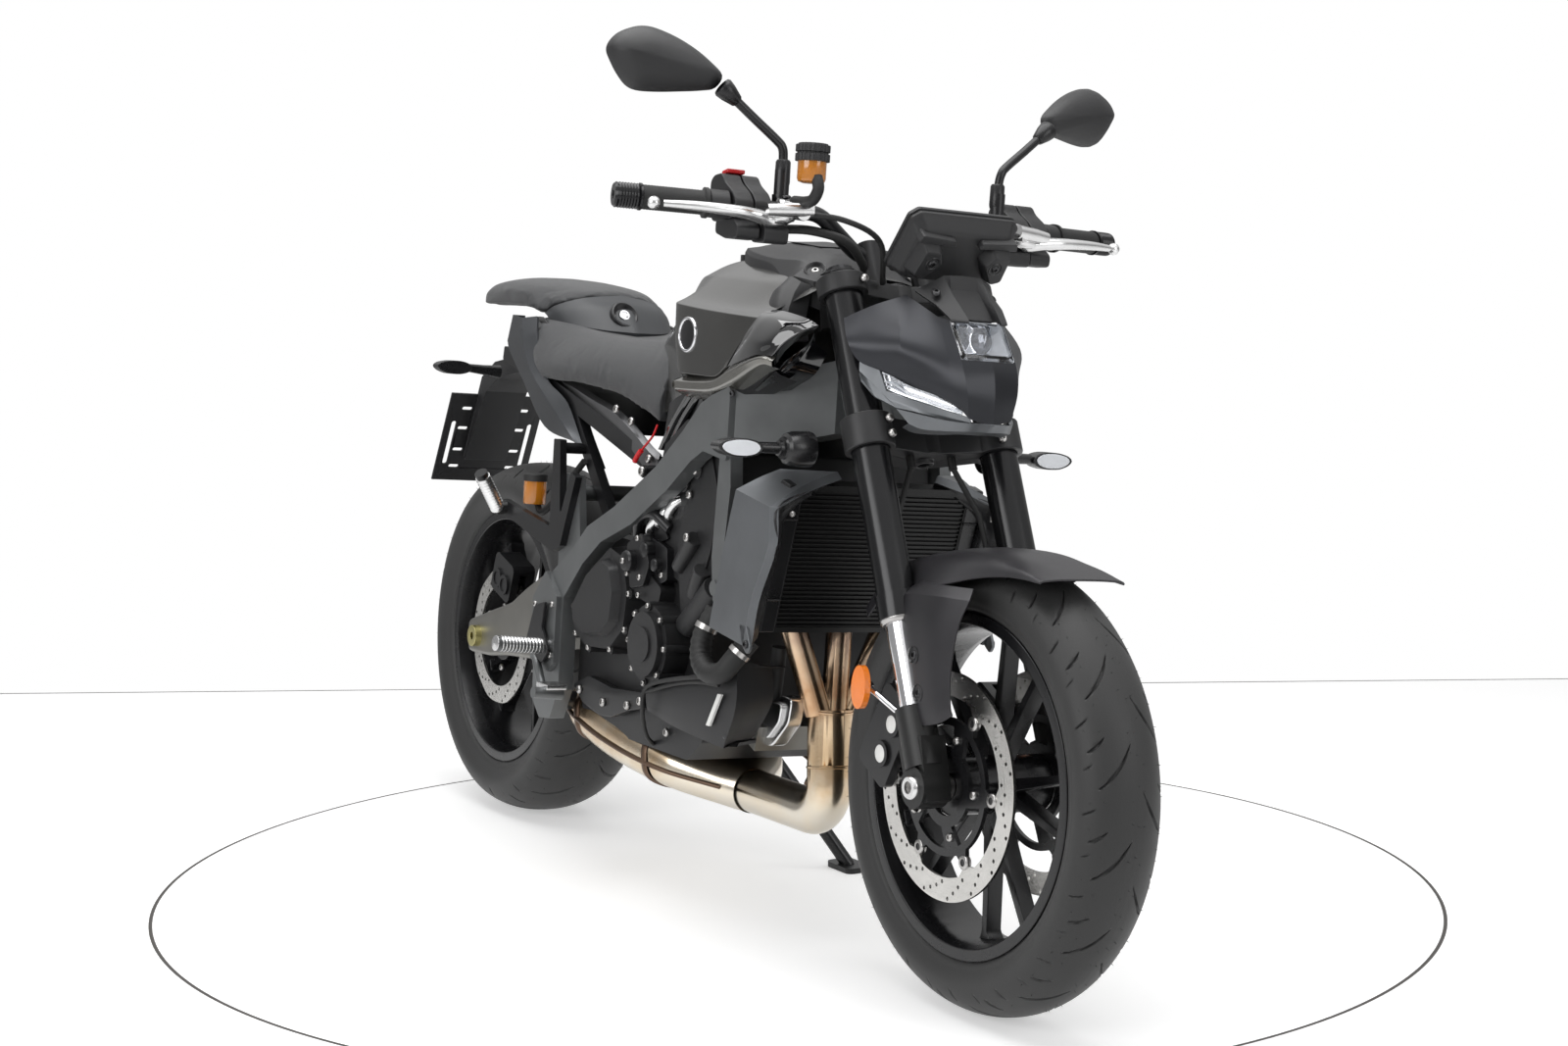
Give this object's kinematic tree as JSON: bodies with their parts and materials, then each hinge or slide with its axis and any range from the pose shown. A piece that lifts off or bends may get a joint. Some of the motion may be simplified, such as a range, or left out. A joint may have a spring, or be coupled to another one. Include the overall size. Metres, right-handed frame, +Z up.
{
  "type": "standard motorcycle",
  "caption": "Naked standard motorcycle leaning on its side stand, with inline engine, perimeter frame, inverted fork, twin front discs, chain drive and under-engine exhaust.",
  "frame": {"origin": "floor level under the middle of the parked machine's outline", "axes": "+X forward along the wheelbase, +Y to the rider's left, +Z up from the floor; the machine leans 4.5 degrees to +Y on its side stand"},
  "size_m": [2.06, 0.8544, 1.2991],
  "materials": {
    "amber_cup": "amber fluid cup",
    "amber_lens": "amber lens",
    "black_plastic": "grained black plastic",
    "bright_aluminium": "bead-blasted aluminium",
    "clear_lens": "clear lens",
    "dark_grey_paint": "matte dark grey metallic paint",
    "disc_steel": "ground steel",
    "engine_black": "satin black engine coating",
    "gloss_black": "gloss black",
    "grey_metal": "dark grey anodised aluminium",
    "rubber": "ribbed rubber",
    "satin_black_metal": "satin black paint",
    "seat_cover": "grained seat cover",
    "stainless": "heat-tinted stainless steel",
    "tyre_rubber": "new rubber"
  },
  "bodies": {
    "chassis": {"coolant_hose": "rubber", "coolant_tank": "black_plastic", "cylinder_head": "engine_black", "drive_chain": "disc_steel", "engine_case": "engine_black", "exhaust_headers": "stainless", "exhaust_muffler": "stainless", "exhaust_pipe": "stainless", "frame": "dark_grey_paint", "fuel_tank": "dark_grey_paint", "left_engine_covers": "engine_black", "oil_cooler": "grey_metal", "passenger_pegs": "satin_black_metal", "passenger_seat": "seat_cover", "plate_holder": "black_plastic", "radiator": "satin_black_metal", "radiator_covers": "dark_grey_paint", "rear_axle": "disc_steel", "rear_caliper": "satin_black_metal", "rear_reservoir": "amber_cup", "rear_shock": "satin_black_metal", "rider_pegs": "bright_aluminium", "rider_seat": "seat_cover", "right_engine_covers": "engine_black", "subframe": "satin_black_metal", "swingarm": "grey_metal", "tail_covers": "dark_grey_paint", "tail_light": "gloss_black", "tank_panels": "gloss_black", "turn_signals": "clear_lens"},
    "front_wheel": {"front_tyre": "tyre_rubber", "front_rim": "satin_black_metal", "front_discs": "disc_steel"},
    "rear_wheel": {"rear_tyre": "tyre_rubber", "rear_rim": "satin_black_metal", "rear_disc": "disc_steel", "rear_sprocket": "disc_steel"},
    "side_stand": {"side_stand": "satin_black_metal"},
    "fuel_cap": {"fuel_cap": "satin_black_metal"},
    "steering": {"triple_clamps": "satin_black_metal", "fork_outers": "satin_black_metal", "fork_legs": "satin_black_metal", "front_axle": "disc_steel", "front_fender": "dark_grey_paint", "front_calipers": "satin_black_metal", "reflectors": "amber_lens", "brake_hoses": "rubber", "headlight_cowl": "dark_grey_paint", "headlight": "clear_lens", "display": "black_plastic", "handlebar": "satin_black_metal", "grips": "rubber", "switchgear": "black_plastic", "levers": "bright_aluminium", "brake_reservoir": "amber_cup", "mirrors": "black_plastic"}
  },
  "joints": [
    {"name": "steering", "type": "hinge", "parent": "chassis", "child": "steering", "pos_m": [0.49668, -0.0337, 0.7413], "axis": [-0.4174, 0.0713, 0.9059], "range_deg": [-32, 32]},
    {"name": "front_wheel_spin", "type": "hinge", "parent": "steering", "child": "front_wheel", "pos_m": [0.73, -0.06846, 0.29961], "axis": [0, 0.9969, -0.0785], "continuous": true},
    {"name": "rear_wheel_spin", "type": "hinge", "parent": "chassis", "child": "rear_wheel", "pos_m": [-0.7, -0.06728, 0.31456], "axis": [0, 0.9969, -0.0785], "continuous": true},
    {"name": "side_stand_fold", "type": "hinge", "parent": "chassis", "child": "side_stand", "pos_m": [-0.1, 0.04503, 0.19939], "axis": [0.1083, 0.8546, 0.5079], "range_deg": [0, 100]},
    {"name": "fuel_cap_hinge", "type": "hinge", "parent": "chassis", "child": "fuel_cap", "pos_m": [0.062, -0.01417, 0.98947], "axis": [0, 0.9969, -0.0785], "range_deg": [0, 95]}
  ]
}
